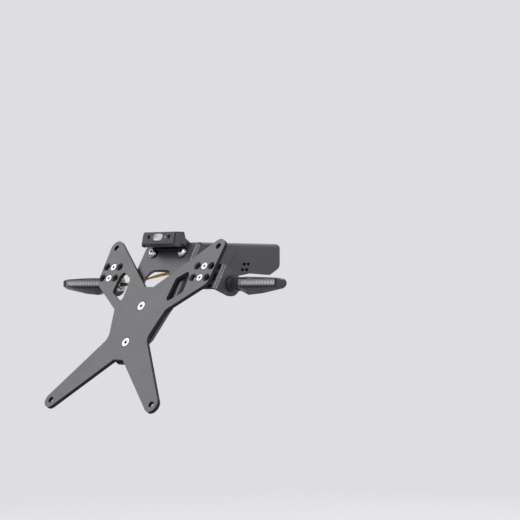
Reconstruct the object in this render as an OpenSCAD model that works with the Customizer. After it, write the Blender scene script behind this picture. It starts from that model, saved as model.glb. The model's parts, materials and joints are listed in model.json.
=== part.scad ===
// Tail tidy: a motorcycle number plate carrier with its brackets, indicators and plate lamp.
// The origin is the middle of the bolt pattern on top of the base bracket.
// +Z points up, +Y to the front of the motorcycle and +X to its right side.

/* [Plate carrier] */
// Thickness of the plate carrier
carrier_t = 4; // [3:0.5:5]
// Lean of the plate carrier from the vertical, in degrees
tilt = 30; // [25:1:35]
// Distance between the two upper number plate holes
plate_hole_span = 150; // [146:1:152]
// Distance between the two lower number plate holes
low_hole_span = 148; // [144:1:152]
// Height of the upper number plate holes above the upper centre screw
plate_hole_up = 67.5; // [64:0.5:71]
// Depth of the lower number plate holes below the upper centre screw
plate_hole_down = 107.5; // [102:0.5:113]
// Diameter of the number plate holes
plate_hole_d = 6.5; // [5:0.5:7]
// Radius of the rounded arm tips
arm_tip_r = 8.2; // [7.5:0.1:9]
// Half width of the carrier across the outer edges of its upper arms
arm_edge_x = 80.8; // [79:0.2:82]
// Height at which the outer edge of an upper arm turns inwards
arm_edge_low = 25.5; // [23:0.5:27]
// Half width of the carrier where the waist begins
shoulder_x = 37.4; // [36:0.2:40]
// Height of the point where the waist begins
shoulder_y = -4.2; // [-6:0.2:-3]
// Half width of the waist at its narrowest
waist_x = 27.8; // [26:0.2:30]
// Height of the narrowest point of the waist
waist_y = -36.8; // [-39:0.2:-35]
// Half width of the flat at the bottom of the upper notch
top_notch_x = 6.2; // [5:0.2:8]
// Height of the flat at the bottom of the upper notch
top_notch_y = 21.6; // [20:0.2:23]
// Half width of the flat at the top of the lower notch
low_notch_x = 6.6; // [5:0.2:8]
// Depth of the flat at the top of the lower notch
low_notch_y = 60.6; // [59:0.2:62]
// Distance between the two centre screws
centre_screw_gap = 41; // [38:0.5:44]
// Distance of the adjusting holes' middle column inside the indicator brackets' outer faces
adjust_inset = 18.8; // [18.6:0.2:20]
// Sideways pitch of the adjusting holes
adjust_pitch_x = 9.6; // [9:0.1:10]
// Height of the lower row of adjusting holes
adjust_low_y = 32; // [31:0.5:33]
// Distance between the two rows of adjusting holes
adjust_pitch_y = 13; // [12:0.5:14]

/* [Centre bracket] */
// Thickness of the folded bracket sheet
sheet_t = 3; // [2.5:0.5:3.5]
// Inner radius of the sheet folds
fold_r = 1.8; // [1:0.2:2.6]
// Half width of the centre bracket over its cheeks
centre_half_w = 38.7; // [37.5:0.1:40]
// Height of the centre bracket's top edge above the upper centre screw
centre_top = 75; // [73:0.5:77]
// Length of the cheeks forward of the bracket's rear face
cheek_depth = 47; // [44:0.5:50]
// Depth of the stiffening flange under the cheeks
flange_depth = 9; // [7:0.5:11]
// Height of the lower end of the stiffening flange
flange_low = 6; // [4:0.5:9]
// Half width of the cable window
window_half_w = 19; // [16:0.5:21]
// Height of the upper edge of the cable window
window_top = 44; // [42:0.5:46]
// Height of the lower edge of the cable window
window_low = 13; // [12:0.5:16]
// Corner radius of the cable window
window_r = 12; // [8:0.5:14]
// Distance between the two bolts at the top of the centre bracket
centre_bolt_span = 43; // [41:0.5:45]
// Height of the two bolts at the top of the centre bracket
centre_bolt_y = 63.5; // [62:0.5:65]

/* [Base bracket] */
// Length of the base bracket's cheeks along the motorcycle
base_len = 108; // [104:1:112]
// Height of the base bracket's top face above the upper centre screw
base_top = 63; // [62:0.5:66]
// Distance of the bolt pattern's middle in front of the upper centre screw
base_fore = 112; // [110:0.5:114]
// Height of the base bracket's cheeks
base_cheek_h = 32.5; // [31:0.5:35]
// Sideways distance between the tail bolts
tail_bolt_x = 44; // [38:1:48]
// Lengthways distance between the tail bolts
tail_bolt_y = 70; // [66:1:74]
// Diameter of the tail bolt holes
tail_bolt_d = 6.5; // [5.5:0.5:8.5]
// Length of the cable opening in the base bracket's top
cable_opening_len = 34; // [26:1:40]
// Width of the cable opening in the base bracket's top
cable_opening_w = 24; // [18:1:28]

/* [Indicators] */
// Half width over the outer faces of the indicator brackets
indicator_half_w = 85.8; // [84.4:0.2:86]
// Distance of the indicator stem's axis forward of the upper centre screw
stem_fore = 41.2; // [40.2:0.2:42.2]
// Height of the indicator stem's axis above the upper centre screw
stem_up = 21.3; // [20:0.1:23]
// Radius of the round end of an indicator bracket
bracket_end_r = 12; // [11:0.2:13]
// Diameter of the indicator stem
stem_d = 14.6; // [13:0.2:16]
// Length of the indicator stem
stem_len = 14.6; // [13:0.2:17]
// Diameter of the threaded stud in the stem
stud_d = 8; // [6:1:10]
// Length of an indicator housing
housing_len = 60; // [58:1:64]
// Rearward sweep of an indicator housing, in degrees
housing_sweep = 2.6; // [0:0.2:5]
// Length of an indicator lens
lens_len = 52; // [48:1:54]
// Height of an indicator lens
lens_h = 6.6; // [5:0.2:7.5]
// Wall of an indicator lens
lens_t = 1.6; // [1:0.2:2.2]
// Number of light elements in an indicator
led_count = 12; // [8:1:14]

/* [Plate lamp] */
// Width of the plate lamp
lamp_w = 45; // [43:0.5:46]
// Height of the plate lamp's rear face
lamp_h = 11.8; // [11:0.2:13]
// Lean of the lamp's rear face from the vertical, in degrees
lamp_tilt = 13; // [8:1:18]
// Distance between the lamp screws
lamp_screw_span = 29.4; // [27:0.2:31]
// Width of the oval lens on the lamp's rear face
lamp_oval_w = 13.8; // [11:0.2:14.6]
// Height of the oval lens on the lamp's rear face
lamp_oval_h = 7.2; // [6:0.2:8]
// Thickness of the lamp bracket's sheet
lamp_sheet_t = 2; // [1.5:0.5:2.5]

/* [Fits] */
// Clearance of a screw in its hole, on the diameter
hole_play = 0.5; // [0.3:0.1:0.8]
// Gap between curved or moulded faces that meet
seat_gap = 0.3; // [0.2:0.05:0.5]
// Thickness of the washers between the carrier and the centre bracket
carrier_washer_t = 1; // [0.5:0.1:1.5]
// Thickness of the spacers between the carrier and the indicator brackets
spacer_t = 3; // [2.5:0.1:3.5]
// Diameter of an indicator lead
lead_d = 3.4; // [2.6:0.2:3.6]

/* [Hidden] */
$fn = 48;
eps = 0.01;
outer_r = fold_r + sheet_t;

// Places of the sheets behind the carrier's face, measured along its thickness
web_rear = carrier_t + carrier_washer_t;
web_front = web_rear + sheet_t;
leg_rear = carrier_t + spacer_t;
leg_front = leg_rear + sheet_t;

// Place of the upper centre screw's head in the part's own frame
screw_at = [0, -base_fore, -base_top];

// Plate hole and adjusting hole places
hole_x = plate_hole_span / 2;
low_hole_x = low_hole_span / 2;
adjust_x = indicator_half_w - adjust_inset;
adjust_rows = [adjust_low_y, adjust_low_y + adjust_pitch_y];

// Leaf cut-out as [x, y, corner radius], with its outer edge beside the adjusting holes
leaf_x = adjust_x - adjust_pitch_x - 5.4;
leaf = [
    [leaf_x - 4.4, 39.2, 2.5], [leaf_x - 18.4, 31.2, 5], [leaf_x - 20, 8, 4], [leaf_x - 16.5, 5.6, 2],
    [leaf_x, 15.6, 5], [leaf_x - 0.6, 34, 5]];

// Fasteners: thread diameter, head diameter and head height
lamp_m = 2.5;
lamp_head_d = 3.8;
lamp_head_h = 2.5;
m4 = 4;
m4_head_d = 8;
m4_head_h = 2.2;
m5 = 5;
m5_head_d = 10;
m5_head_h = 2.8;
m6 = 6;
m6_head_d = 10.5;
m6_head_h = 3.3;
m5_button_d = 9.5;
m5_button_h = 2.75;
m5_washer_d = 10.4;
rim_play = 1;
rim_depth = 0.5;
washer_t = 1.2;
nut_t = 0.8;

// Lower edge of the centre bracket's cheeks, from their front down to the stiffening flange
cheek_rise = 22.6;
cheek_front_low = 69;
cheek_bend_w = 17;
cheek_bend_y = 52;
flange_top = 40;

// Cheeks of the base bracket, between the cheeks of the centre bracket
base_half_w = centre_half_w - sheet_t;
base_rear_y = 50;
base_front_y = base_rear_y + base_len;
slot_len = 4.5;
slot_h = 3;
slot_rows = [[105, 41.8], [102.6, 36.2]];
slot_pitch = 5.8;
side_bolt_y = 59;
side_bolt_z = 49;
tongue_low = 54;
cheek_low_z = 40.5;

// Lower edge of the base bracket's cheeks, from the front to the rear
cheek_nose_h = 24;
cheek_nose_len = 14;
swell_front_y = 116;
swell_rear_y = 97;
step_y = 80;

// Indicator sections: place along the stem, top, lens foot, keel and half depth
lens_top = 5;
lens_foot = lens_top - lens_h;
lens_start = 1.6;
led_board_t = 1;
led_size = 3;
led_h = 1.2;
stud_reach = 8;
stem_washer_t = 1.4;
stem_nut_h = 5.4;
stem_nut_af = 13;
housing_start = indicator_half_w + stem_len;
housing_half = 8;
lens_depth = 3.4;
lens_rim = 0.9;
lens_lip = 0.15;
led_room = led_board_t + led_h + 0.4;

// Forward and upward place of the stem's axis, measured in the carrier's frame
stem_w = stem_fore * cos(tilt) - stem_up * sin(tilt);
stem_y = stem_fore * sin(tilt) + stem_up * cos(tilt);
leg_top = adjust_low_y + adjust_pitch_y + 6.5;
leg_low = adjust_low_y - 7.5;
leg_inner_x = adjust_x - 6;

// Plate lamp: top of its rear face, its underside, its seat on the lamp bracket and its small parts
lamp_rear_y = 24.4;
lamp_top_z = 73.4;
lamp_low_z = lamp_top_z - lamp_h;
lamp_lean = lamp_h * tan(lamp_tilt);
lamp_foot_y = lamp_rear_y - lamp_lean + 4.6;
lamp_under_z = lamp_low_z - 3.2;
lamp_back = web_rear - lamp_sheet_t;
lamp_mid_y = centre_bolt_y + 7.5;
lamp_seat_low = lamp_mid_y - 5;
lamp_seat_top = lamp_mid_y + 4;
bolt_room_d = m5_washer_d + 1.2;
lamp_head_z = 4;
face_mid = -lamp_h / 2 + 0.5;
face_pocket = 1.2;
oval_x = -0.8;
sensor_x = 9.8;
sensor_d = 2.4;
lamp_window_y = lamp_foot_y + 1.4;
lamp_window_w = 30;
lamp_window_len = 5.5;
lamp_window_t = 1.5;

// Place of a stem stud's inner end, where its lead starts
lead_x = indicator_half_w - sheet_t - stud_reach;

// Sideways place of the leads in their clips
clip_x = base_half_w - sheet_t - 3.5;

// Lead route of the left side and the right side, from stem end to plug, by hand
left_route = [
    [-lead_x, stem_fore, stem_up], [-lead_x + 13, stem_fore - 1.2, stem_up + 0.7],
    [-lead_x * 0.6, 39.2, 24.4], [-29, 40, 28], [-14, 46, 31.8],
    [-4, 55, 33.6], [-2, 68, 37], [-10, 79, 41.6], [-20, 87, 42], [-27.4, 95, 39.8], [-clip_x, 102, 39],
    [-clip_x, 119, 39], [-clip_x, 128, 39]];
right_route = [
    [lead_x, stem_fore, stem_up], [lead_x - 15, stem_fore - 2, stem_up - 2.1],
    [lead_x * 0.57, 38, 22.4], [27, 38.8, 28.6], [12, 41.6, 33.8],
    [0, 46, 36.8], [-7, 55, 39.2], [-3, 66, 42.6], [8, 75, 44], [19, 83, 43.6], [26.8, 92, 40.6],
    [clip_x, 101, 39], [clip_x, 119, 39], [clip_x, 128, 39]];
ring_steps = 3;
lead_sides = 8;
plug_len = 20;
plug_d = 6;
clip_y = slot_rows[1][0] - 1;
clip_len = slot_rows[0][0] - slot_rows[1][0] + slot_len + slot_pitch + 2;
clip_half = 4;
clip_h = slot_rows[0][1] - slot_rows[1][1] + slot_h + 2;

// Points of an arc about c, from angle a0 to angle a1, in n steps
function arc(c, r, a0, a1, n = 8) =
    [for (i = [0:n]) c + r * [cos(a0 + (a1 - a0) * i / n), sin(a0 + (a1 - a0) * i / n)]];

// Unit vector and angle helpers in the plane
function unit(v) = v / norm(v);
function turn(v) = atan2(v[1], v[0]);

// Angle at which a line from p touches the circle about c, on the given side
function touch(p, c, r, side) = turn(p - c) + side * acos(r / norm(p - c));

// One rounded corner b between a and c, as arc points
function corner(a, b, c, r, n = 6) =
    let (u = unit(a - b), v = unit(c - b), half = acos(u * v) / 2, d = r / tan(half),
         m = b + unit(u + v) * r / sin(half), s = turn(b + u * d - m), e = turn(b + v * d - m),
         sweep = (e - s) - 360 * round((e - s) / 360))
    r == 0 ? [b] : arc(m, r, s, s + sweep, n);

// Closed outline from [x, y, corner radius] entries
function rounded(p) =
    [for (i = [0:len(p) - 1])
        let (a = p[(i + len(p) - 1) % len(p)], b = p[i], c = p[(i + 1) % len(p)])
        each corner([a[0], a[1]], [b[0], b[1]], [c[0], c[1]], b[2])];

// Arc round an arm tip between the corners before and after it
function tip(before, c, after) =
    let (s = touch(before, c, arm_tip_r, -1), e = touch(after, c, arm_tip_r, 1))
    arc(c, arm_tip_r, s, s - ((s - e) % 360 + 360) % 360, 12);

// Forward and upward place of a point w behind the carrier's face and y up the plate
function plate_point(w, y) = [w * cos(tilt) + y * sin(tilt), y * cos(tilt) - w * sin(tilt)];

// Place w behind the carrier's face that lies at height z
function level_point(w, z) = plate_point(w, (z + w * sin(tilt)) / cos(tilt));

function sharp(points) = [for (p = points) [p[0], p[1], 0]];

// Right half of the carrier's outline, from the upper notch down to the lower one
half_outline = concat(
    [[top_notch_x, top_notch_y, 1]],
    sharp(tip([top_notch_x, top_notch_y], [hole_x, plate_hole_up], [arm_edge_x, arm_edge_low])),
    [[arm_edge_x, arm_edge_low, 6], [shoulder_x, shoulder_y, 4], [waist_x, waist_y, 12]],
    sharp(tip([waist_x, waist_y], [low_hole_x, -plate_hole_down], [low_notch_x, -low_notch_y])),
    [[low_notch_x, -low_notch_y, 1]]);
function flip(p) = [for (i = [len(p) - 1:-1:0]) [-p[i][0], p[i][1], p[i][2]]];
carrier_outline = rounded(concat(half_outline, flip(half_outline)));

// Lower tongue of the centre bracket, which follows the carrier's waist
tongue_half = [
    [centre_half_w, centre_top, 0], [centre_half_w, flange_low - 4, 4], [shoulder_x - 1, shoulder_y, 2],
    [waist_x + 1.2, waist_y + 2, 6], [7, -low_notch_y - 1.4, 5]];

// Moves its children into the plate carrier's frame: x right, y up the plate, z out of its face
module on_plate() {
    translate(screw_at) rotate([90 - tilt, 0, 0]) children();
}

// Moves its children to the part's frame from places measured at the upper centre screw
module from_screw() {
    translate(screw_at) children();
}

module both_sides() {
    children();
    mirror([1, 0, 0]) children();
}

// Extrudes an outline of [forward, up] points along x, centred, for plates that face sideways
module side_plate(x0, x1) {
    translate([x0, 0, 0]) rotate([90, 0, 90]) linear_extrude(x1 - x0) children();
}

module slot_shape(len, h) {
    union() {
        translate([-(len - h) / 2, -h / 2]) square([len - h, h]);
        translate([-(len - h) / 2, 0]) circle(h / 2);
        translate([(len - h) / 2, 0]) circle(h / 2);
    }
}

module rounded_square(w, h, r) {
    union() {
        translate([-w / 2 + r, -h / 2]) square([w - 2 * r, h]);
        translate([-w / 2, -h / 2 + r]) square([w, h - 2 * r]);
        for (sx = [-1, 1]) for (sy = [-1, 1])
            translate([sx * (w / 2 - r), sy * (h / 2 - r)]) circle(r);
    }
}

// Countersunk screw with its head flush at z = 0 and its shank downwards
module countersunk_screw(d, head_d, head_h, len) {
    difference() {
        union() {
            translate([0, 0, -head_h]) cylinder(h = head_h, d1 = d, d2 = head_d - 0.2);
            translate([0, 0, -len]) cylinder(h = len - head_h + eps, d = d);
        }
        translate([0, 0, -head_h * 0.8]) cylinder(h = head_h, d = d * 0.72, $fn = 6);
    }
}

module countersink(d, head_d, head_h, depth) {
    translate([0, 0, -depth - 1]) cylinder(h = depth + 2, d = d + hole_play);
    translate([0, 0, -head_h]) cylinder(h = head_h, d1 = d + hole_play, d2 = head_d + 0.2);
    translate([0, 0, -rim_depth]) cylinder(h = 1, d = head_d + rim_play);
}

module button_bolt(d, head_d, head_h, len) {
    difference() {
        union() {
            translate([0, 0, -len]) cylinder(h = len + eps, d = d);
            rotate_extrude() polygon(concat([[0, 0], [head_d / 2, 0]],
                arc([head_d / 2 - head_h, head_h * 0.15], head_h * 0.85, 0, 90, 5),
                [[0, head_h]]));
        }
        translate([0, 0, head_h * 0.4]) cylinder(h = head_h, d = d * 0.75, $fn = 6);
    }
}

module ring(d_out, d_in, h) {
    difference() {
        cylinder(h = h, d = d_out);
        translate([0, 0, -1]) cylinder(h = h + 2, d = d_in);
    }
}

module hex_nut(d, af, h) {
    difference() {
        cylinder(h = h, d = af / cos(30), $fn = 6);
        translate([0, 0, -1]) cylinder(h = h + 2, d = d);
    }
}

module adjust_places() {
    for (y = adjust_rows) for (s = [-1, 1]) translate([s * adjust_x, y, 0]) children();
}

// Plate carrier with its plate holes, adjusting holes and leaf cut-outs
module plate_carrier() {
    color("#77777a") on_plate() difference() {
        translate([0, 0, -carrier_t]) linear_extrude(carrier_t) difference() {
            polygon(carrier_outline);
            polygon(rounded(leaf));
            mirror([1, 0]) polygon(rounded(leaf));
        }
        for (s = [-1, 1]) {
            translate([s * hole_x, plate_hole_up, -carrier_t - 1])
                cylinder(h = carrier_t + 2, d = plate_hole_d);
            translate([s * low_hole_x, -plate_hole_down, -carrier_t - 1])
                cylinder(h = carrier_t + 2, d = plate_hole_d);
        }
        for (y = [0, -centre_screw_gap]) translate([0, y, 0])
            countersink(m5, m5_head_d, m5_head_h, carrier_t);
        adjust_places() for (k = [-1:1]) translate([k * adjust_pitch_x, 0, 0])
            countersink(m4, m4_head_d, m4_head_h, carrier_t);
    }
}

module carrier_screws() {
    color("#d8d9dc") on_plate() for (y = [0, -centre_screw_gap]) translate([0, y, 0])
        countersunk_screw(m5, m5_head_d, m5_head_h, web_front + nut_t * m5 + 2);
}

module carrier_washers() {
    color("#2a2a2c") on_plate() for (y = [0, -centre_screw_gap]) translate([0, y, -web_rear])
        ring(m5 * 2, m5 + hole_play, carrier_washer_t);
}

module carrier_nuts() {
    color("#b9babd") on_plate() for (y = [0, -centre_screw_gap]) translate([0, y, -web_front - nut_t * m5])
        hex_nut(m5, m5 * 1.6, nut_t * m5);
}

// Cross-section of the centre bracket: x across, y forward from its rear face
module folded_channel(half_w, depth, t, r) {
    difference() {
        union() {
            translate([-half_w + r, 0]) square([2 * (half_w - r), depth]);
            translate([-half_w, r]) square([2 * half_w, depth - r]);
            for (s = [-1, 1]) translate([s * (half_w - r), r]) circle(r);
        }
        union() {
            translate([-half_w + r, t]) square([2 * (half_w - r), depth]);
            translate([-half_w + t, r]) square([2 * (half_w - t), depth]);
            for (s = [-1, 1]) translate([s * (half_w - r), r]) circle(r - t);
        }
    }
}

// Outline of a centre bracket cheek: x forward from the rear face, y up the plate
cheek_outline = rounded([
    [-1, centre_top, 0], [6, centre_top, 0],
    [cheek_depth, centre_top + cheek_rise, 4], [cheek_depth, cheek_front_low, 5],
    [cheek_bend_w, cheek_bend_y, 10], [flange_depth, flange_top, 8],
    [flange_depth, flange_low + 6, 3], [outer_r - 0.5, flange_low - 2, 0], [-1, flange_low - 2, 0]]);

module centre_bracket() {
    color("#737377") on_plate() translate([0, 0, -web_rear]) difference() {
        intersection() {
            translate([0, -low_notch_y - 5, 0]) rotate([-90, 0, 0])
                linear_extrude(centre_top + low_notch_y + 40)
                    folded_channel(centre_half_w, cheek_depth, sheet_t, outer_r);
            union() {
                translate([-centre_half_w - 1, 0, 0]) rotate([0, 90, 0])
                    linear_extrude(2 * centre_half_w + 2) polygon(cheek_outline);
                translate([0, 0, -sheet_t]) linear_extrude(sheet_t + 1)
                    polygon(rounded(concat(tongue_half, flip(tongue_half))));
            }
        }
        translate([0, (window_top + window_low) / 2, -sheet_t - 1]) linear_extrude(sheet_t + 2)
            rounded_square(2 * window_half_w, window_top - window_low, window_r);
        for (y = [0, -centre_screw_gap]) translate([0, y, -sheet_t - 1])
            cylinder(h = sheet_t + 2, d = m5 + hole_play);
        for (s = [-1, 1]) {
            translate([s * centre_bolt_span / 2, centre_bolt_y, -sheet_t - 1])
                cylinder(h = sheet_t + 2, d = m5 + hole_play);
            translate([s * lamp_screw_span / 2, lamp_mid_y, -sheet_t - 1])
                cylinder(h = sheet_t + 2, d = lamp_m + hole_play);
        }
        translate([0, 0, web_rear]) rotate([tilt - 90, 0, 0]) side_bolt_holes(centre_half_w + 1);
    }
}

module side_bolt_holes(reach) {
    translate([-reach, side_bolt_y, side_bolt_z]) rotate([0, 90, 0])
        cylinder(h = 2 * reach, d = m6 + hole_play);
}

module centre_bolt_places() {
    for (s = [-1, 1]) translate([s * centre_bolt_span / 2, centre_bolt_y, 0]) children();
}

module centre_bolts() {
    color("#d8d9dc") on_plate() centre_bolt_places() translate([0, 0, -web_rear + washer_t])
        button_bolt(m5, m5_button_d, m5_button_h, washer_t + 2 * sheet_t + nut_t * m5 + 2);
}

module centre_bolt_washers() {
    color("#c4c5c8") on_plate() centre_bolt_places() translate([0, 0, -web_rear])
        ring(m5_washer_d, m5 + hole_play, washer_t);
}

module centre_bolt_nuts() {
    color("#b9babd") on_plate() centre_bolt_places() translate([0, 0, -web_front - sheet_t - nut_t * m5])
        hex_nut(m5, m5 * 1.6, nut_t * m5);
}

// Side view of the base bracket's cheeks: x forward, y up, measured at the upper centre screw
base_cheek_outline = rounded([
    [base_rear_y, base_top, 0], [base_front_y, base_top, 3], [base_front_y, base_top - cheek_nose_h, 6],
    [base_front_y - cheek_nose_len, base_top - base_cheek_h + 0.5, 8],
    [swell_front_y, base_top - base_cheek_h + 2, 8], [swell_rear_y, base_top - base_cheek_h - 1, 5],
    [step_y, cheek_low_z, 8], [side_bolt_y - 1, cheek_low_z, 4], [base_rear_y, side_bolt_z - 2, 3]]);

// Folded base bracket: a channel under the tail with a rear tongue behind the centre bracket
module base_bracket() {
    color("#3f3f45") union() {
        from_screw() difference() {
            intersection() {
                translate([0, base_front_y, base_top]) rotate([90, 0, 0]) rotate([0, 0, 180])
                    linear_extrude(base_len)
                        folded_channel(base_half_w, base_cheek_h + 5, sheet_t, outer_r);
                side_plate(-base_half_w - 1, base_half_w + 1) polygon(base_cheek_outline);
            }
            for (s = [-1, 1]) for (y = [-1, 1])
                translate([s * tail_bolt_x / 2, base_fore + y * tail_bolt_y / 2, base_top - sheet_t - 1])
                    cylinder(h = sheet_t + 2, d = tail_bolt_d);
            translate([0, base_fore, base_top - sheet_t - 1]) linear_extrude(sheet_t + 2)
                rounded_square(cable_opening_w, cable_opening_len, 6);
            for (row = slot_rows) for (k = [0, 1])
                translate([-base_half_w - 1, row[0] + slot_len / 2 + k * slot_pitch, row[1]])
                    rotate([90, 0, 90]) linear_extrude(2 * base_half_w + 2) slot_shape(slot_len, slot_h);
            side_bolt_holes(base_half_w + 1);
        }
        base_tongue();
    }
}

// Rear tongue, folded down from the base bracket's top behind the centre bracket
module base_tongue() {
    tongue_w = base_half_w - outer_r;
    back = web_front + sheet_t;
    outline = rounded([
        concat(plate_point(web_front, tongue_low), 0), concat(level_point(web_front, base_top), outer_r),
        [base_rear_y + 1, base_top, 0], [base_rear_y + 1, base_top - sheet_t, 0],
        concat(level_point(back, base_top - sheet_t), fold_r), concat(plate_point(back, tongue_low), 0)]);
    difference() {
        from_screw() side_plate(-tongue_w, tongue_w) polygon(outline);
        on_plate() translate([0, 0, -back - 1]) {
            centre_bolt_places() cylinder(h = sheet_t + 2, d = m5 + hole_play);
            for (s = [-1, 1]) translate([s * lamp_screw_span / 2, lamp_mid_y, 0])
                cylinder(h = sheet_t + 2, d = lamp_m + hole_play);
        }
    }
}

module side_bolts() {
    color("#3a3a3d") from_screw() both_sides() translate([centre_half_w, side_bolt_y, side_bolt_z])
        rotate([0, 90, 0]) button_bolt(m6, m6_head_d, m6_head_h, 2 * sheet_t + nut_t * m6 + 2);
}

module side_nuts() {
    color("#3a3a3d") from_screw() both_sides()
        translate([base_half_w - sheet_t - nut_t * m6, side_bolt_y, side_bolt_z])
            rotate([0, 90, 0]) hex_nut(m6, m6 * 1.65, nut_t * m6);
}

// Side leg of an indicator bracket: x forward from the leg's rear face, y up the plate
module side_leg_outline() {
    c = [stem_w - leg_rear, stem_y];
    top = [outer_r - 1, leg_top];
    low = [outer_r - 1, leg_low];
    s = touch(top, c, bracket_end_r, -1);
    e = touch(low, c, bracket_end_r, 1);
    polygon(concat([[-1, leg_low], [-1, leg_top], top],
        arc(c, bracket_end_r, s, s - ((s - e) % 360 + 360) % 360, 16), [low]));
}

module folded_corner(half_w, depth, t, r, inner_x) {
    intersection() {
        folded_channel(half_w, depth, t, r);
        translate([inner_x, -1]) square([half_w, depth + 2]);
    }
}

module right_indicator_bracket_shape() {
    on_plate() difference() {
        translate([0, 0, -leg_rear]) intersection() {
            translate([0, leg_low - 20, 0]) rotate([-90, 0, 0]) linear_extrude(60)
                folded_corner(indicator_half_w, 40, sheet_t, outer_r, leg_inner_x);
            rotate([0, 90, 0]) linear_extrude(indicator_half_w + 1) side_leg_outline();
        }
        for (y = adjust_rows) translate([adjust_x, y, -leg_front - 1])
            cylinder(h = sheet_t + 2, d = m4 + hole_play);
        translate([indicator_half_w - sheet_t - 1, stem_y, -stem_w]) rotate([0, 90, 0])
            cylinder(h = sheet_t + 2, d = stud_d + hole_play);
    }
}

module left_indicator_bracket() {
    color("#3f3f45") mirror([1, 0, 0]) right_indicator_bracket_shape();
}

module right_indicator_bracket() {
    color("#3f3f45") right_indicator_bracket_shape();
}

module bracket_screws() {
    color("#d8d9dc") on_plate() adjust_places()
        countersunk_screw(m4, m4_head_d, m4_head_h, leg_front + nut_t * m4 + 1.5);
}

module bracket_spacers() {
    color("#2a2a2c") on_plate() adjust_places() translate([0, 0, -leg_rear])
        ring(m4 * 2.1, m4 + hole_play, spacer_t);
}

module bracket_nuts() {
    color("#b9babd") on_plate() adjust_places() translate([0, 0, -leg_front - nut_t * m4])
        hex_nut(m4, m4 * 1.75, nut_t * m4);
}

// Moves its children to the right stem's axis, with z pointing outwards from the bracket
module at_stem() {
    from_screw() translate([indicator_half_w, stem_fore, stem_up]) rotate([0, 90, 0]) rotate([0, 0, 90])
        children();
}

// Rubber stem: a foot with a waist groove, a plain neck and a slimmer collar at the housing
module right_stem_shape() {
    r = stem_d / 2;
    at_stem() rotate_extrude() polygon(concat(
        [[0, 0], [r, 0], [r, 2.2]], arc([r + 0.6, 4.2], 1.6, 235, 125, 5),
        [[r - 0.3, 6.2], [r - 0.3, stem_len - 3], [r - 0.9, stem_len - 2.4], [r - 0.9, stem_len],
            [0, stem_len]]));
}

module left_stem() {
    color("#242427") mirror([1, 0, 0]) right_stem_shape();
}

module right_stem() {
    color("#242427") right_stem_shape();
}

module stem_studs() {
    color("#9d9ea2") both_sides() at_stem() translate([0, 0, -sheet_t - stud_reach])
        cylinder(h = sheet_t + stud_reach, d = stud_d);
}

module stem_washers() {
    color("#c4c5c8") both_sides() at_stem() translate([0, 0, -sheet_t - stem_washer_t])
        ring(stud_d * 2, stud_d + hole_play, stem_washer_t);
}

module stem_nuts() {
    color("#c9cacd") both_sides() at_stem()
        translate([0, 0, -sheet_t - stem_washer_t - stem_nut_h]) hex_nut(stud_d, stem_nut_af, stem_nut_h);
}

// Indicator section at a place along it: [along, top, keel depth, half depth, rise of the edges]
housing_sections = [
    [0, 6.2, 7, housing_half - 1, 1.5], [10.5, 7, 10.6, housing_half, 2], [28, 6.6, 9.2, housing_half, 2],
    [housing_len - 10, 5.8, 5.6, 7, 2], [housing_len - 2.5, 5, 4.6, 5.4, 1.6], [housing_len, 4, 3.4, 3.6, 1]];

module housing_slice(s) {
    at = s[0];
    top = s[1];
    keel = s[2];
    half = s[3];
    rise = s[4];
    translate([-at * tan(housing_sweep), 0, at]) linear_extrude(eps) polygon([
        [-half + rise, top], [half - 2 * rise, top], [half, top - 2 * rise], [half, -rise],
        [half - 2 * rise, 0.4 - keel], [1 - half / 4, -keel], [-half + rise, -keel * 0.52],
        [-half, lens_foot], [-half, min(lens_top - 0.2, top - 1)]]);
}

// Right housing as a block: x forward, y up, z outwards
module housing_block() {
    at_housing() hull() for (s = housing_sections) housing_slice(s);
}

// Frame of the lens and its pocket, swept with the housing
module at_lens() {
    at_housing() rotate([0, -housing_sweep, 0]) children();
}

module at_housing() {
    from_screw() translate([housing_start, stem_fore, stem_up]) rotate([90, 0, 90]) children();
}

module lens_zone() {
    reach = 2 * housing_half;
    translate([-reach, lens_foot + lens_lip, lens_start])
        cube([reach - housing_half + lens_depth, lens_h - lens_lip, lens_len]);
}

module lens_pocket() {
    at_lens() translate([lens_t - housing_half, lens_foot + lens_rim, lens_start + lens_rim])
        cube([led_room + lens_depth - lens_t, lens_h - 2 * lens_rim, lens_len - 2 * lens_rim]);
}

module right_housing_shape() {
    difference() {
        housing_block();
        at_lens() lens_zone();
        lens_pocket();
    }
}

module left_indicator_housing() {
    color("#2b2b2e") mirror([1, 0, 0]) right_housing_shape();
}

module right_indicator_housing() {
    color("#2b2b2e") right_housing_shape();
}

module right_lens_shape() {
    difference() {
        intersection() {
            housing_block();
            at_lens() lens_zone();
        }
        lens_pocket();
    }
}

module left_indicator_lens() {
    color("#8b8b90") mirror([1, 0, 0]) right_lens_shape();
}

module right_indicator_lens() {
    color("#8b8b90") right_lens_shape();
}

// Light elements on their board, at the back of the lens pocket
module right_led_shape() {
    board_z0 = lens_start + lens_rim;
    board_len = lens_len - 2 * lens_rim;
    back = lens_depth + led_room - housing_half;
    at_lens() {
        translate([back - led_board_t, lens_foot + lens_rim, board_z0])
            cube([led_board_t, lens_h - 2 * lens_rim, board_len]);
        for (i = [0:led_count - 1]) {
            z = board_z0 + board_len * (i + 0.5) / led_count;
            translate([back - led_board_t - led_h, (lens_top + lens_foot - led_size) / 2, z - led_size / 2])
                cube([led_h, led_size, led_size]);
        }
    }
}

module left_led_strip() {
    color("#e5dfae") mirror([1, 0, 0]) right_led_shape();
}

module right_led_strip() {
    color("#e5dfae") right_led_shape();
}

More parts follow.
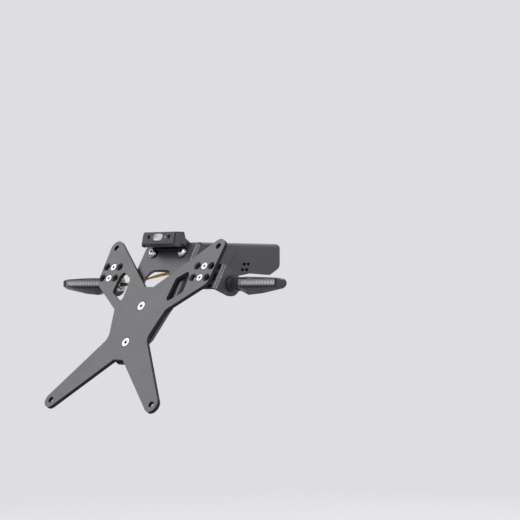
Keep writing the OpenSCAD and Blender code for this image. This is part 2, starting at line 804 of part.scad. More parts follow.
// Plate lamp: rear face leaning by lamp_tilt, measured at the upper centre screw
lamp_outline = rounded([
    [lamp_rear_y, lamp_top_z, 0.8], [lamp_rear_y - lamp_lean, lamp_low_z, 1], [lamp_foot_y, lamp_under_z, 1],
    concat(level_point(lamp_back, lamp_under_z), 0.5), concat(plate_point(lamp_back, lamp_seat_top), 0.5),
    [plate_point(lamp_back, lamp_seat_top)[0] - 3, lamp_top_z, 1]]);

module plate_lamp_housing() {
    color("#3a3a3d") difference() {
        from_screw() side_plate(-lamp_w / 2, lamp_w / 2) polygon(lamp_outline);
        lamp_screw_places() cylinder(h = 60, d = lamp_m + hole_play, center = true);
        lamp_screw_places() translate([0, 0, lamp_head_z]) cylinder(h = 30, d = lamp_head_d + hole_play);
        on_plate() centre_bolt_places() translate([0, 0, -web_rear - 1])
            cylinder(h = washer_t + m5_button_h + 2, d = bolt_room_d);
        at_lamp_face() translate([oval_x, face_mid, -face_pocket]) linear_extrude(5)
            slot_shape(lamp_oval_w, lamp_oval_h);
        at_lamp_face() translate([sensor_x, face_mid, -face_pocket]) cylinder(h = 5, d = sensor_d);
        translate([0, 0, -eps]) lamp_window_block(lamp_window_t + eps);
    }
}

// Lamp screws run square to the plate, through lamp, bracket, centre bracket and tongue
module lamp_screw_places() {
    on_plate() for (s = [-1, 1]) translate([s * lamp_screw_span / 2, lamp_mid_y, 0]) children();
}

// Rear face of the lamp: x right, y up the face from its top edge, z out of the face
module at_lamp_face() {
    from_screw() translate([0, lamp_rear_y, lamp_top_z]) rotate([90 - lamp_tilt, 0, 0]) children();
}

module lamp_window_block(h) {
    from_screw() translate([-lamp_window_w / 2, lamp_window_y, lamp_under_z])
        cube([lamp_window_w, lamp_window_len, h]);
}

module plate_lamp_oval_lens() {
    color("#f2f2f0") at_lamp_face() translate([oval_x, face_mid, -face_pocket])
        linear_extrude(face_pocket + 0.5) slot_shape(lamp_oval_w - seat_gap, lamp_oval_h - seat_gap);
}

module plate_lamp_sensor() {
    color("#dcdcdc") at_lamp_face() translate([sensor_x, face_mid, -face_pocket])
        cylinder(h = face_pocket + 0.3, d = sensor_d - seat_gap);
}

module plate_lamp_window() {
    color("#dfe3e6") lamp_window_block(lamp_window_t);
}

module plate_lamp_screws() {
    len = lamp_head_z + web_front + sheet_t + nut_t * lamp_m + 2;
    color("#1d1d1f") lamp_screw_places() translate([0, 0, lamp_head_z]) difference() {
        union() {
            cylinder(h = lamp_head_h, d = lamp_head_d);
            translate([0, 0, -len]) cylinder(h = len + eps, d = lamp_m);
        }
        translate([0, 0, lamp_head_h * 0.4]) cylinder(h = lamp_head_h, d = lamp_m * 0.85, $fn = 6);
    }
}

module plate_lamp_nuts() {
    color("#b9babd") lamp_screw_places() translate([0, 0, -web_front - sheet_t - nut_t * lamp_m])
        hex_nut(lamp_m, lamp_m * 2, nut_t * lamp_m);
}

// Lamp bracket: a plate on the centre bracket's face with a hooked ear at each side of the lamp
module plate_lamp_bracket() {
    half = lamp_w / 2 + seat_gap + lamp_sheet_t;
    ear_low = centre_bolt_y + bolt_room_d / 2 + 0.1;
    ear = rounded([
        concat(plate_point(web_rear, ear_low), 0), concat(plate_point(web_rear, lamp_seat_top + 1), 0),
        [lamp_rear_y + 4, lamp_top_z - 1, 3], [lamp_rear_y + 0.8, lamp_top_z - 1.6, 1.5],
        [lamp_rear_y - lamp_lean + 0.8, lamp_low_z - 2.2, 1.5], [lamp_foot_y, lamp_under_z - 0.4, 1],
        concat(plate_point(-sheet_t, ear_low), 2)]);
    color("#3f3f45") on_plate() {
        difference() {
            translate([-half, lamp_seat_low, -web_rear])
                cube([2 * half, lamp_seat_top + 1 - lamp_seat_low, lamp_sheet_t]);
            for (s = [-1, 1]) translate([s * lamp_screw_span / 2, lamp_mid_y, -web_rear - 1])
                cylinder(h = lamp_sheet_t + 2, d = lamp_m + hole_play);
            centre_bolt_places() translate([0, 0, -web_rear - 1])
                cylinder(h = lamp_sheet_t + 2, d = bolt_room_d);
        }
    }
    color("#3f3f45") from_screw() for (x = [-half, half - lamp_sheet_t])
        side_plate(x, x + lamp_sheet_t) polygon(ear);
}

// Point on a smooth curve through the route, after point i by the share t
function bend(p, i, t) =
    let (n = len(p) - 1, a = p[max(i - 1, 0)], b = p[i], c = p[min(i + 1, n)], d = p[min(i + 2, n)])
    0.5 * (2 * b + (c - a) * t + (2 * a - 5 * b + 4 * c - d) * t * t + (3 * b - 3 * c + d - a) * t * t * t);

function along(p) = concat([for (i = [0:len(p) - 2]) for (k = [0:ring_steps - 1]) bend(p, i, k / ring_steps)],
    [p[len(p) - 1]]);

// Tube of lead_d along a route, as rings square to the curve
module lead(route, start_dir, end_dir) {
    c = along(route);
    n = len(c);
    dirs = [for (i = [0:n - 1]) i == 0 ? start_dir : i == n - 1 ? end_dir : unit(c[i + 1] - c[i - 1])];
    sides = [for (v = dirs) unit(cross(v, [0, 0, 1]))];
    tops = [for (i = [0:n - 1]) cross(sides[i], dirs[i])];
    points = [for (i = [0:n - 1]) for (k = [0:lead_sides - 1])
        c[i] + lead_d / 2 * (cos(360 * k / lead_sides) * sides[i] + sin(360 * k / lead_sides) * tops[i])];
    walls = [for (i = [0:n - 2]) for (k = [0:lead_sides - 1])
        let (a = i * lead_sides + k, b = i * lead_sides + (k + 1) % lead_sides)
        [a, a + lead_sides, b + lead_sides, b]];
    ends = [[for (k = [0:lead_sides - 1]) k], [for (k = [lead_sides - 1:-1:0]) (n - 1) * lead_sides + k]];
    from_screw() polyhedron(points, concat(walls, ends), convexity = 4);
}

module left_lead() {
    color("#c9892b") lead(left_route, [1, 0, 0], [0, 1, 0]);
}

module right_lead() {
    color("#c9892b") lead(right_route, [-1, 0, 0], [0, 1, 0]);
}

// Insulated bullet plug at the end of a lead
module plug_at(end) {
    from_screw() translate(end) rotate([-90, 0, 0]) rotate_extrude() polygon([
        [0, 0], [lead_d / 2 + 0.4, 0], [plug_d / 2, 3], [plug_d / 2, plug_len - 8],
        [plug_d / 2 - 0.7, plug_len - 7], [plug_d / 2 - 0.7, plug_len], [0, plug_len]]);
}

module left_lead_plug() {
    color("#1f1f21") plug_at(left_route[len(left_route) - 1]);
}

module right_lead_plug() {
    color("#1f1f21") plug_at(right_route[len(right_route) - 1]);
}

// Moulded clips that hold the leads on the inside of the base bracket's cheeks
module lead_clips() {
    x = left_route[len(left_route) - 1][0];
    z = left_route[len(left_route) - 1][2];
    inner = base_half_w - sheet_t;
    color("#1f1f21") from_screw() both_sides() difference() {
        translate([-inner, clip_y, z - clip_h / 2]) cube([inner + x + clip_half, clip_len, clip_h]);
        translate([x, clip_y - 1, z]) rotate([-90, 0, 0])
            cylinder(h = clip_len + 2, d = lead_d + 2 * seat_gap);
    }
}

plate_carrier();
carrier_screws();
carrier_washers();
carrier_nuts();
centre_bracket();
centre_bolts();
centre_bolt_washers();
centre_bolt_nuts();
base_bracket();
side_bolts();
side_nuts();
left_indicator_bracket();
right_indicator_bracket();
bracket_screws();
bracket_spacers();
bracket_nuts();
left_stem();
right_stem();
stem_studs();
stem_washers();
stem_nuts();
left_indicator_housing();
right_indicator_housing();
left_indicator_lens();
right_indicator_lens();
left_led_strip();
right_led_strip();
plate_lamp_bracket();
plate_lamp_housing();
plate_lamp_oval_lens();
plate_lamp_window();
plate_lamp_sensor();
plate_lamp_screws();
plate_lamp_nuts();
left_lead();
right_lead();
left_lead_plug();
right_lead_plug();
lead_clips();
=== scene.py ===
"""Looks of the tail tidy: procedural materials, twisted leads, camera, light and floor.

Lengths are in metres unless a name or comment says millimetres. The rear of the part faces -y and
its left side -x.
"""

import json
import math

import bpy
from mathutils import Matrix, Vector

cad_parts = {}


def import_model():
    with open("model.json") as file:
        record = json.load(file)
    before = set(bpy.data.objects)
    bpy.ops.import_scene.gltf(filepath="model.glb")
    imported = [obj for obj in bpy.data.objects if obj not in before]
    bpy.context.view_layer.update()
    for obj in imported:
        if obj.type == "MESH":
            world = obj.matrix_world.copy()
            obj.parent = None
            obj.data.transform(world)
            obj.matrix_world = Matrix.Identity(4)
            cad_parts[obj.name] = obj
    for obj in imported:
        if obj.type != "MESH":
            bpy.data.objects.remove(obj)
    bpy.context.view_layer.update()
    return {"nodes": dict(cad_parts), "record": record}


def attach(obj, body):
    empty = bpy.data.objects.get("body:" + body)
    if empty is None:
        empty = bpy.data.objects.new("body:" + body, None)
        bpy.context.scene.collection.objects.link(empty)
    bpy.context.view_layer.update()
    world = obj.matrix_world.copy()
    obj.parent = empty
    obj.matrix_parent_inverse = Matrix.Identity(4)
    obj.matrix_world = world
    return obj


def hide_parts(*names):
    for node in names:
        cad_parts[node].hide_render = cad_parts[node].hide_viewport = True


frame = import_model()
NODES = frame["nodes"]
SCENE = bpy.context.scene

# Upper centre screw, which all of the part's own measures start from
SCREW = Vector((0, -0.112, -0.063))
# Directions square to the plate carrier's face and up along it
TILT = math.radians(30)
PLATE_OUT = (0, -math.cos(TILT), math.sin(TILT))
PLATE_UP = (0, math.sin(TILT), math.cos(TILT))

# Indicators, as in the part's source, in millimetres
INDICATOR_HALF_W = 85.8
STEM_FORE = 41.2
STEM_UP = 21.3
STEM_LEN = 14.6
SHEET_T = 3
STUD_REACH = 8
SWEEP = math.radians(2.6)
# Plane halfway up the light elements: its depth behind the stem's axis, and in metres its distance
# from the part's origin, measured square to the board
ELEMENT_DEPTH = 3.6
STRIP_SPLIT = ((SCREW.y + (STEM_FORE - ELEMENT_DEPTH) / 1000) * math.cos(SWEEP)
               + (INDICATOR_HALF_W + STEM_LEN) / 1000 * math.sin(SWEEP))
# Glossy black rim round the window: middle, half size and soft width, across and up the part, and
# the rearward shares of a normal between which it sets in
RIM_X, RIM_HALF_X, RIM_SOFT_X = 0.1277, 0.0283, 0.0006
RIM_Z, RIM_HALF_Z, RIM_SOFT_Z = -0.0405, 0.0051, 0.0004
RIM_FACING = (0.2, 0.35)
RIM_ROUGH = 0.14
SHELL_GLOSS = 0.2

# Camera fitted to the photograph, with its lens and sensor in millimetres
CAMERA_AT = (1.7930, -1.7184, -0.0543)
CAMERA_AIM = Vector((0.0830, -0.0291, -0.0178))
LENS, SENSOR = 168.7, 36
NEAR_CLIP = 0.05

# Rectangular lights round the part's middle: distance, direction, size and power in watts
MIDDLE = Vector((0, -0.08, -0.05))
LIGHTS = {
    "key": (1.6, (-0.711, -0.338, 0.616), (1.1, 0.9), 5),
    "rear_strip": (1.5, (0.17, -0.61, 0.77), (0.1, 0.4), 8),
    "side_strip": (1.5, (0.88, -0.09, 0.47), (0.05, 0.35), 5.6),
    "front": (1.7, (-0.2, 0.9, 0.4), (1.0, 1.0), 8),
    "fill": (1.6, (0.8, -0.57, -0.15), (0.9, 0.3), 5),
}

# Backdrop's tone where it is seen, and the light it gives from low and from high
BACKDROP = (0.73, 0.732, 0.76)
GLOW_Z = (-0.4, 0.7)
GLOW = (0.42, 0.65)

# Round floor: its middle, radius, sides, the distances between which it fades out, and its tones
# where it is seen and where it only throws light back
FLOOR_AT = (0, -0.08, -0.33)
FLOOR_RADIUS = 1.15
FLOOR_SIDES = 96
FLOOR_FADE = (0.45, 1.1)
FLOOR_DARK, FLOOR_LIGHT = (0.7, 0.702, 0.73), (0.72, 0.722, 0.75)
FLOOR_BOUNCE = (0.16, 0.16, 0.165)
FLOOR_ROUGH = 0.8

# Noise scales: slow drift of tone, grain in the gloss and grain in the height
COAT_DRIFT, COAT_GRAIN, COAT_PEEL = 45, 260, 1500
METAL_DRIFT, METAL_GRAIN = 500, 900
MOULD_DRIFT, MOULD_GRAIN, MOULD_SPARK = 90, 700, 3800
CLEAR_DRIFT, CLEAR_GRAIN = 120, 500
STRIP_DRIFT = 200
FLOOR_DRIFT = 3
# How much lighter the board's and the elements' tones get at most
BOARD_LIGHTER, ELEMENT_LIGHTER = 1.2, 1.1
# Part of a noise's range that is put to use, and its octaves
NOISE_LOW, NOISE_HIGH = 0.3, 0.7
DETAIL, METAL_DETAIL, HAZE_DETAIL = 2, 3, 2.5
# How far the grain takes roughness down and up
COAT_WANDER, METAL_WANDER, MOULD_WANDER = (-0.02, 0.02), (-0.05, 0.05), (-0.03, 0.03)
CLEAR_WANDER = (-0.02, 0.03)

# Painted shade in corners and recesses: least share of the tone that stays, samples, and each
# finish's reach and steepness
CORNER_SHADE_SHARE = 0.02
CORNER_SHADE_SAMPLES = 8
COAT_CORNER_SHADE, METAL_CORNER_SHADE = (0.005, 3.0), (0.003, 5.0)
# Sharp edges: samples, and each finish's radius in the shading
EDGE_SAMPLES = 6
METAL_EDGE, MOULD_EDGE = 0.00025, 0.0004
# Strength and depth of the grain in height
COAT_BUMP, MOULD_BUMP, SHELL_BUMP = (0.008, 0.0001), (0.1, 0.0002), (0.06, 0.0002)
# Roughness of a coated sheet's cut edges
CUT_ROUGH = 0.8
PLASTIC_IOR = 1.46
# Painted shade in the drive sockets of flush screws: where it starts and ends below the carrier's
# face, and the share of the metal's darker tone that is painted there
SOCKET_SHADE_TOP, SOCKET_SHADE_FOOT = (-0.0001, -0.0005), (-0.0034, -0.0032)
SOCKET_SHADE_SHARE = 0.25

# Leads: two wires side by side in the room of a 3.4 mm tube, with a slow turn, and a shrunk sleeve
WIRE_RADIUS = 0.00082
WIRE_OFFSET = 0.00085
WIRE_PITCH = 0.11
WIRE_PHASE = -0.4
SLEEVE_RADIUS = 0.0017
SLEEVE_LEN = 0.009
WIRE_SIDES, SLEEVE_SIDES = 12, 16
ROUTE_STEPS = 24
# Routes as in the part's source, in millimetres from the upper centre screw
LEAD_X = INDICATOR_HALF_W - SHEET_T - STUD_REACH
CLIP_X = 29.2
LEFT_ROUTE = [
    (-LEAD_X, STEM_FORE, STEM_UP), (-LEAD_X + 13, 40, 22), (-LEAD_X * 0.6, 39.2, 24.4),
    (-29, 40, 28), (-14, 46, 31.8), (-4, 55, 33.6), (-2, 68, 37), (-10, 79, 41.6), (-20, 87, 42),
    (-27.4, 95, 39.8), (-CLIP_X, 102, 39), (-CLIP_X, 119, 39), (-CLIP_X, 128, 39)]
RIGHT_ROUTE = [
    (LEAD_X, STEM_FORE, STEM_UP), (LEAD_X - 15, 39.2, 19.2), (LEAD_X * 0.57, 38, 22.4),
    (27, 38.8, 28.6), (12, 41.6, 33.8), (0, 46, 36.8), (-7, 55, 39.2), (-3, 66, 42.6), (8, 75, 44),
    (19, 83, 43.6), (26.8, 92, 40.6), (CLIP_X, 101, 39), (CLIP_X, 119, 39), (CLIP_X, 128, 39)]


def part_point(x, y, z):
    """Point in the part's frame from millimetres measured at the upper centre screw."""
    return SCREW + Vector((x, y, z)) / 1000


def aim(obj, target):
    obj.rotation_euler = (target - obj.location).to_track_quat("-Z", "Y").to_euler()


def camera():
    data = bpy.data.cameras.new("camera")
    obj = bpy.data.objects.new("camera", data)
    SCENE.collection.objects.link(obj)
    data.sensor_width = SENSOR
    data.lens = LENS
    data.clip_start = NEAR_CLIP
    data.dof.use_dof = False
    obj.location = CAMERA_AT
    aim(obj, CAMERA_AIM)
    SCENE.camera = obj


class Nodes:
    """Helpers that add nodes to a node tree and link them."""

    def __init__(self, tree):
        self.tree = tree

    def add(self, kind, **values):
        node = self.tree.nodes.new(kind)
        for key, value in values.items():
            setattr(node, key, value)
        return node

    def link(self, a, b):
        self.tree.links.new(a, b)

    def split(self, vector):
        node = self.add("ShaderNodeSeparateXYZ")
        self.link(vector, node.inputs[0])
        return node.outputs

    def math(self, kind, a, b=None):
        node = self.add("ShaderNodeMath", operation=kind)
        self.link(a, node.inputs[0])
        if isinstance(b, float):
            node.inputs[1].default_value = b
        elif b is not None:
            self.link(b, node.inputs[1])
        return node.outputs[0]

    def ramp(self, value, low, high, start=0.0, end=1.0):
        """Goes from start to end while a value goes from low to high."""
        node = self.add("ShaderNodeMapRange")
        node.inputs["From Min"].default_value = low
        node.inputs["From Max"].default_value = high
        node.inputs["To Min"].default_value = start
        node.inputs["To Max"].default_value = end
        self.link(value, node.inputs["Value"])
        return node.outputs[0]

    def blend(self, factor, a, b):
        node = self.add("ShaderNodeMix", data_type="RGBA")
        self.link(factor, node.inputs["Factor"])
        for value, key in ((a, "A"), (b, "B")):
            if isinstance(value, tuple):
                node.inputs[key].default_value = (*value, 1)
            else:
                self.link(value, node.inputs[key])
        return node.outputs["Result"]

    def seen(self):
        """1 for what is seen, straight, in gloss or through clear plastic, and 0 for its light."""
        path = self.add("ShaderNodeLightPath").outputs
        direct = self.math("MAXIMUM", path["Is Camera Ray"], path["Is Glossy Ray"])
        return self.math("MAXIMUM", direct, path["Is Transmission Ray"])


class Surface(Nodes):
    """A node material of one principled shader, in the part's own coordinates."""

    def __init__(self, name):
        self.mat = bpy.data.materials.new(name)
        self.mat.use_nodes = True
        super().__init__(self.mat.node_tree)
        self.tree.nodes.clear()
        self.out = self.add("ShaderNodeOutputMaterial")
        self.shader = self.add("ShaderNodeBsdfPrincipled")
        self.link(self.shader.outputs[0], self.out.inputs["Surface"])
        source = self.add("ShaderNodeTexCoord")
        self.coords = source.outputs["Object"]
        self.normal = source.outputs["Normal"]

    def put(self, **values):
        for key, value in values.items():
            self.shader.inputs[key.replace("_", " ")].default_value = value

    def color(self, value):
        self.link(value, self.shader.inputs["Base Color"])

    def roughness(self, value):
        self.link(value, self.shader.inputs["Roughness"])

    def noise(self, scale, detail=DETAIL):
        node = self.add("ShaderNodeTexNoise")
        node.inputs["Scale"].default_value = scale
        node.inputs["Detail"].default_value = detail
        self.link(self.coords, node.inputs["Vector"])
        return node.outputs["Fac"]

    def spread(self, value, low, high):
        """Number that wanders with a noise between low and high."""
        return self.ramp(value, NOISE_LOW, NOISE_HIGH, low, high)

    def tint(self, value, dark, light):
        """Colour that wanders with a noise between dark and light."""
        node = self.add("ShaderNodeValToRGB")
        low, high = node.color_ramp.elements
        low.position, high.position = NOISE_LOW, NOISE_HIGH
        low.color, high.color = (*dark, 1), (*light, 1)
        self.link(value, node.inputs["Fac"])
        return node.outputs["Color"]

    def dot(self, vector, axis):
        node = self.add("ShaderNodeVectorMath", operation="DOT_PRODUCT")
        self.link(vector, node.inputs[0])
        node.inputs[1].default_value = axis
        return node.outputs["Value"]

    def painted_corner_shade(self, color, reach, power):
        """Paints shade into a colour: darkens it where little open air is near."""
        air = self.add("ShaderNodeAmbientOcclusion", samples=CORNER_SHADE_SAMPLES)
        air.inputs["Distance"].default_value = reach
        share = self.ramp(self.math("POWER", air.outputs["AO"], power), 0.0, 1.0, CORNER_SHADE_SHARE)
        mix = self.add("ShaderNodeMix", data_type="RGBA", blend_type="MULTIPLY")
        mix.inputs["Factor"].default_value = 1.0
        self.link(color, mix.inputs["A"])
        self.link(share, mix.inputs["B"])
        return mix.outputs["Result"]

    def bump(self, height, strength, distance):
        node = self.add("ShaderNodeBump")
        node.inputs["Strength"].default_value = strength
        node.inputs["Distance"].default_value = distance
        self.link(height, node.inputs["Height"])
        self.link(node.outputs[0], self.shader.inputs["Normal"])
        return node

    def edges(self, radius, bump=None):
        """Softens sharp edges in the shading, with any bump on top."""
        node = self.add("ShaderNodeBevel", samples=EDGE_SAMPLES)
        node.inputs["Radius"].default_value = radius
        self.link(node.outputs[0], (bump or self.shader).inputs["Normal"])


def coated(name, dark, light, rough, cut, gloss=0.3, edge=0.0003):
    """Powder coat with a drift of tone, fine grain, duller cut edges and painted shade on its cut
    edges.

    cut holds a direction, its share in the normals of cut edges, its share in those of faces, and
    the dark tone painted on cut edges as shade.
    """
    s = Surface(name)
    axis, low, high, cut_edge_shade = cut
    face = s.ramp(s.math("ABSOLUTE", s.dot(s.normal, axis)), low, high)
    # Painted shade: cut edges take a dark tone in place of the coat's own
    tone = s.blend(face, cut_edge_shade, s.tint(s.noise(COAT_DRIFT), dark, light))
    # Painted shade in the coat's corners and recesses
    s.color(s.painted_corner_shade(tone, *COAT_CORNER_SHADE))
    grain = s.spread(s.noise(COAT_GRAIN), *COAT_WANDER)
    s.roughness(s.math("ADD", s.ramp(face, 0.0, 1.0, CUT_ROUGH, rough), grain))
    s.edges(edge, s.bump(s.noise(COAT_PEEL), *COAT_BUMP))
    s.put(Specular_IOR_Level=gloss)
    return s.mat


def metal(name, dark, light, rough, flush=False):
    """Bare or plated steel, with painted shade in the drive socket where its heads lie flush with
    the carrier.
    """
    s = Surface(name)
    tone = s.tint(s.noise(METAL_DRIFT, METAL_DETAIL), dark, light)
    # Painted shade: the drive socket darkened by its depth below the carrier's face
    if flush:
        depth = s.math("ADD", s.dot(s.coords, PLATE_OUT), -SCREW.dot(Vector(PLATE_OUT)))
        inside = s.math("MULTIPLY", s.ramp(depth, *SOCKET_SHADE_TOP), s.ramp(depth, *SOCKET_SHADE_FOOT))
        tone = s.blend(inside, tone, tuple(v * SOCKET_SHADE_SHARE for v in dark))
    # Painted shade in the metal's corners and recesses
    s.color(s.painted_corner_shade(tone, *METAL_CORNER_SHADE))
    s.roughness(s.spread(s.noise(METAL_GRAIN), *(rough + v for v in METAL_WANDER)))
    s.put(Metallic=1.0)
    s.edges(METAL_EDGE)
    return s.mat


def moulded(name, dark, light, rough, gloss=0.5):
    """Rubber or opaque plastic with a fine moulded grain."""
    s = Surface(name)
    s.color(s.tint(s.noise(MOULD_DRIFT), dark, light))
    s.roughness(s.spread(s.noise(MOULD_GRAIN), *(rough + v for v in MOULD_WANDER)))
    s.edges(MOULD_EDGE, s.bump(s.noise(MOULD_SPARK), *MOULD_BUMP))
    s.put(Specular_IOR_Level=gloss)
    return s.mat


def indicator_shell(name, dark, light, rim, rough):
    """Moulded shell with a glossier black rim round its window."""
    s = Surface(name)
    place = s.split(s.coords)
    along = s.math("ABSOLUTE", s.math("ADD", s.math("ABSOLUTE", place["X"]), -RIM_X))
    across = s.math("ABSOLUTE", s.math("ADD", place["Z"], -RIM_Z))
    inside = s.math("MULTIPLY", s.ramp(along, RIM_HALF_X, RIM_HALF_X - RIM_SOFT_X),
                    s.ramp(across, RIM_HALF_Z, RIM_HALF_Z - RIM_SOFT_Z))
    rearward = s.ramp(s.dot(s.normal, (0, -1, 0)), *RIM_FACING)
    mask = s.math("MULTIPLY", inside, rearward)
    s.color(s.blend(mask, s.tint(s.noise(MOULD_DRIFT), dark, light), rim))
    grain = s.spread(s.noise(MOULD_GRAIN), *MOULD_WANDER)
    s.roughness(s.math("ADD", s.ramp(mask, 0.0, 1.0, rough, RIM_ROUGH), grain))
    s.edges(MOULD_EDGE, s.bump(s.noise(MOULD_SPARK), *SHELL_BUMP))
    s.put(Specular_IOR_Level=SHELL_GLOSS)
    return s.mat


def clear(name, tone, rough, weight, alpha=1.0, drift=0.92):
    """Plastic that lets some light through, with a faint haze."""
    s = Surface(name)
    s.color(s.tint(s.noise(CLEAR_DRIFT), tuple(v * drift for v in tone), tone))
    s.roughness(s.spread(s.noise(CLEAR_GRAIN, HAZE_DETAIL), *(rough + v for v in CLEAR_WANDER)))
    s.put(Transmission_Weight=weight, IOR=PLASTIC_IOR, Alpha=alpha)
    return s.mat


def light_strip(name, board, lit, rough):
    """Pale light elements on their dark board, told apart by how far they stand out of it."""
    s = Surface(name)
    place = s.split(s.coords)
    rearward = s.math("MULTIPLY", place["Y"], math.cos(SWEEP))
    outward = s.math("MULTIPLY", s.math("ABSOLUTE", place["X"]), math.sin(SWEEP))
    element = s.math("LESS_THAN", s.math("ADD", rearward, outward), STRIP_SPLIT)
    dark = s.tint(s.noise(STRIP_DRIFT), board, tuple(v * BOARD_LIGHTER for v in board))
    light = s.tint(s.noise(STRIP_DRIFT), lit, tuple(min(v * ELEMENT_LIGHTER, 1) for v in lit))
    s.color(s.blend(element, dark, light))
    s.put(Roughness=rough)
    return s.mat


# Finishes by the record's material slots. The last three are this scene's own
MATERIALS = {
    # The last value of each coat's cut tuple is the painted shade of its cut edges
    "carrier": coated("carrier_coat", (0.13, 0.129, 0.136), (0.142, 0.141, 0.148), 0.5,
                      (PLATE_OUT, 0.85, 0.95, (0.012, 0.012, 0.014))),
    "bracket": coated("bracket_coat", (0.054, 0.052, 0.062), (0.063, 0.061, 0.072), 0.36,
                      (PLATE_UP, 0.97, 0.9, (0.015, 0.015, 0.017)), 0.5, 0.0006),
    "zinc": metal("zinc_plate", (0.55, 0.56, 0.58), (0.7, 0.71, 0.73), 0.32),
    "black_steel": metal("black_oxide", (0.05, 0.05, 0.055), (0.09, 0.09, 0.095), 0.42),
    "rubber": moulded("stem_rubber", (0.014, 0.014, 0.016), (0.02, 0.02, 0.022), 0.55, 0.25),
    "spacer": moulded("spacer_plastic", (0.012, 0.012, 0.014), (0.018, 0.018, 0.02), 0.5),
    "housing": indicator_shell("indicator_black", (0.05, 0.05, 0.052), (0.058, 0.058, 0.06),
                               (0.003, 0.003, 0.004), 0.28),
    "smoked_lens": clear("indicator_smoke", (0.6, 0.6, 0.62), 0.08, 0.0, 0.24),
    "led": light_strip("led_board", (0.09, 0.09, 0.09), (1.0, 0.99, 0.96), 0.3),
    "lamp_body": moulded("lamp_black", (0.054, 0.054, 0.057), (0.064, 0.064, 0.067), 0.42, 0.35),
    "lamp_lens": clear("lamp_milk", (0.84, 0.84, 0.82), 0.14, 0.2, drift=0.35),
    "lamp_window": clear("lamp_clear", (0.9, 0.92, 0.94), 0.08, 0.8),
    "lead": moulded("lead_orange", (0.98, 0.5, 0.1), (1.0, 0.56, 0.13), 0.4),
    "plug": moulded("plug_black", (0.012, 0.012, 0.013), (0.02, 0.02, 0.021), 0.5),
    "lead_yellow": moulded("lead_yellow", (0.98, 0.68, 0.18), (1.0, 0.76, 0.24), 0.4),
    "sensor": clear("sensor_smoke", (0.42, 0.42, 0.43), 0.1, 0.2),
    # Zinc of the flush screws, with painted shade in their drive sockets
    "zinc_socket_shaded": metal("zinc_flush_socket_shade", (0.46, 0.47, 0.49), (0.56, 0.57, 0.59), 0.34, flush=True),
}
# Nodes whose finish differs from the rest of their slot
SPECIAL = {"carrier_screws": "zinc_socket_shaded", "bracket_screws": "zinc_socket_shaded",
           "plate_lamp_sensor": "sensor"}


def dress(obj, finish):
    obj.data.materials.clear()
    obj.data.materials.append(MATERIALS[finish])


def dress_nodes():
    for part in frame["record"]["subparts"]:
        if part["node"] in NODES:
            dress(NODES[part["node"]], SPECIAL.get(part["node"], part["material_slot"]))


def smooth_route(route):
    """Points on the smooth curve through a route, as many between each two of its points."""
    pts = [part_point(*p) for p in route]
    out = []
    n = len(pts) - 1
    for i in range(n):
        a, b, c, d = pts[max(i - 1, 0)], pts[i], pts[i + 1], pts[min(i + 2, n)]
        for k in range(ROUTE_STEPS):
            t = k / ROUTE_STEPS
            out.append(0.5 * (2 * b + (c - a) * t + (2 * a - 5 * b + 4 * c - d) * t * t
                              + (3 * b - 3 * c + d - a) * t * t * t))
    out.append(pts[-1])
    return out


def ring_axes(line):
    """Two directions square to a line at each of its points, without a twist between them."""
    axes = []
    last = len(line) - 1
    up = Vector((0, 0, 1))
    for i in range(len(line)):
        along = (line[min(i + 1, last)] - line[max(i - 1, 0)]).normalized()
        side = along.cross(up).normalized()
        up = side.cross(along).normalized()
        axes.append((side, up))
    return axes


def ring_point(centre, axes, radius, angle):
    side, up = axes
    return centre + radius * (math.cos(angle) * side + math.sin(angle) * up)


def tube(name, line, radius, sides):
    """Mesh tube with rings square to its centreline and closed ends."""
    verts = [ring_point(centre, axes, radius, math.tau * k / sides)
             for centre, axes in zip(line, ring_axes(line)) for k in range(sides)]
    end = (len(line) - 1) * sides
    faces = [(i + k, i + (k + 1) % sides, i + sides + (k + 1) % sides, i + sides + k)
             for i in range(0, end, sides) for k in range(sides)]
    faces += [tuple(range(sides - 1, -1, -1)), tuple(range(end, end + sides))]
    mesh = bpy.data.meshes.new(name)
    mesh.from_pydata([tuple(v) for v in verts], [], faces)
    mesh.polygons.foreach_set("use_smooth", [True] * len(mesh.polygons))
    obj = bpy.data.objects.new(name, mesh)
    SCENE.collection.objects.link(obj)
    return obj


def twisted_lead(node, route):
    """Two thin wires twisted together, inside the room of the lead's tube."""
    line = smooth_route(route)
    axes = ring_axes(line)
    gone = [0.0]
    for a, b in zip(line, line[1:]):
        gone.append(gone[-1] + (b - a).length)
    for k, finish in enumerate(("lead", "lead_yellow")):
        turns = [far / WIRE_PITCH + 0.5 * k + WIRE_PHASE for far in gone]
        centres = [ring_point(point, pair, WIRE_OFFSET, math.tau * turn)
                   for point, pair, turn in zip(line, axes, turns)]
        wire = tube(node + "_wire_" + "ab"[k], centres, WIRE_RADIUS, WIRE_SIDES)
        dress(wire, finish)
        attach(wire, "root")
        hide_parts(node)
    sleeve(node, [point for point, far in zip(line, gone) if far < SLEEVE_LEN])


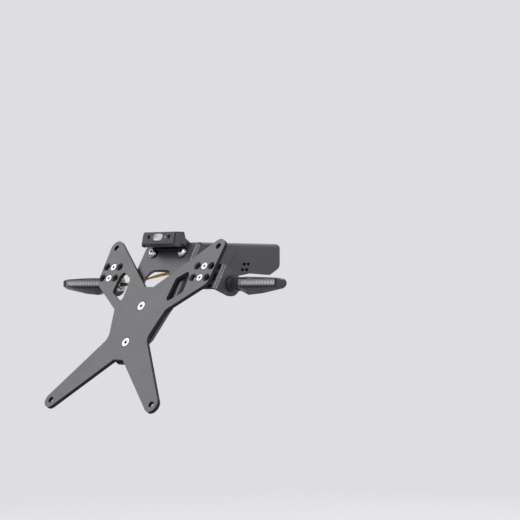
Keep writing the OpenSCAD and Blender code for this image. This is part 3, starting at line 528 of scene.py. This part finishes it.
def sleeve(node, line):
    """Shrunk sleeve over both wires where they leave the stud."""
    piece = tube(node + "_sleeve", line, SLEEVE_RADIUS, SLEEVE_SIDES)
    dress(piece, "plug")
    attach(piece, "root")
    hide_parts(node)


def world():
    """Plain pale backdrop that gives more light from above than from below."""
    data = bpy.data.worlds.new("studio")
    SCENE.world = data
    data.use_nodes = True
    nodes = Nodes(data.node_tree)
    back = data.node_tree.nodes["Background"]
    place = nodes.split(nodes.add("ShaderNodeTexCoord").outputs["Generated"])
    glow = nodes.ramp(place["Z"], *GLOW_Z, *GLOW)
    nodes.link(nodes.blend(nodes.seen(), glow, BACKDROP), back.inputs["Color"])
    back.inputs["Strength"].default_value = 1.0


def floor():
    """Pale round floor below the part, which fades into the backdrop's tone at its rim."""
    bpy.ops.mesh.primitive_circle_add(vertices=FLOOR_SIDES, radius=FLOOR_RADIUS, fill_type="NGON",
                                      location=FLOOR_AT)
    obj = bpy.context.object
    obj.name = "floor"
    s = Surface("floor_pale")
    s.put(Roughness=FLOOR_ROUGH)
    pale = s.tint(s.noise(FLOOR_DRIFT), FLOOR_DARK, FLOOR_LIGHT)
    s.color(s.blend(s.seen(), FLOOR_BOUNCE, pale))
    length = s.add("ShaderNodeVectorMath", operation="LENGTH")
    s.link(s.coords, length.inputs[0])
    mix = s.add("ShaderNodeMixShader")
    s.link(s.ramp(length.outputs["Value"], *FLOOR_FADE), mix.inputs["Fac"])
    s.link(s.shader.outputs[0], mix.inputs[1])
    s.link(s.add("ShaderNodeBsdfTransparent").outputs[0], mix.inputs[2])
    s.link(mix.outputs[0], s.out.inputs["Surface"])
    obj.data.materials.append(s.mat)


def lights():
    for name, (reach, way, size, power) in LIGHTS.items():
        data = bpy.data.lights.new(name, "AREA")
        data.shape = "RECTANGLE"
        data.size, data.size_y = size
        data.energy = power
        obj = bpy.data.objects.new(name, data)
        SCENE.collection.objects.link(obj)
        obj.location = MIDDLE + reach * Vector(way)
        aim(obj, MIDDLE)


def main():
    camera()
    dress_nodes()
    twisted_lead("left_lead", LEFT_ROUTE)
    twisted_lead("right_lead", RIGHT_ROUTE)
    world()
    floor()
    lights()
    SCENE.view_settings.view_transform = "Standard"


main()
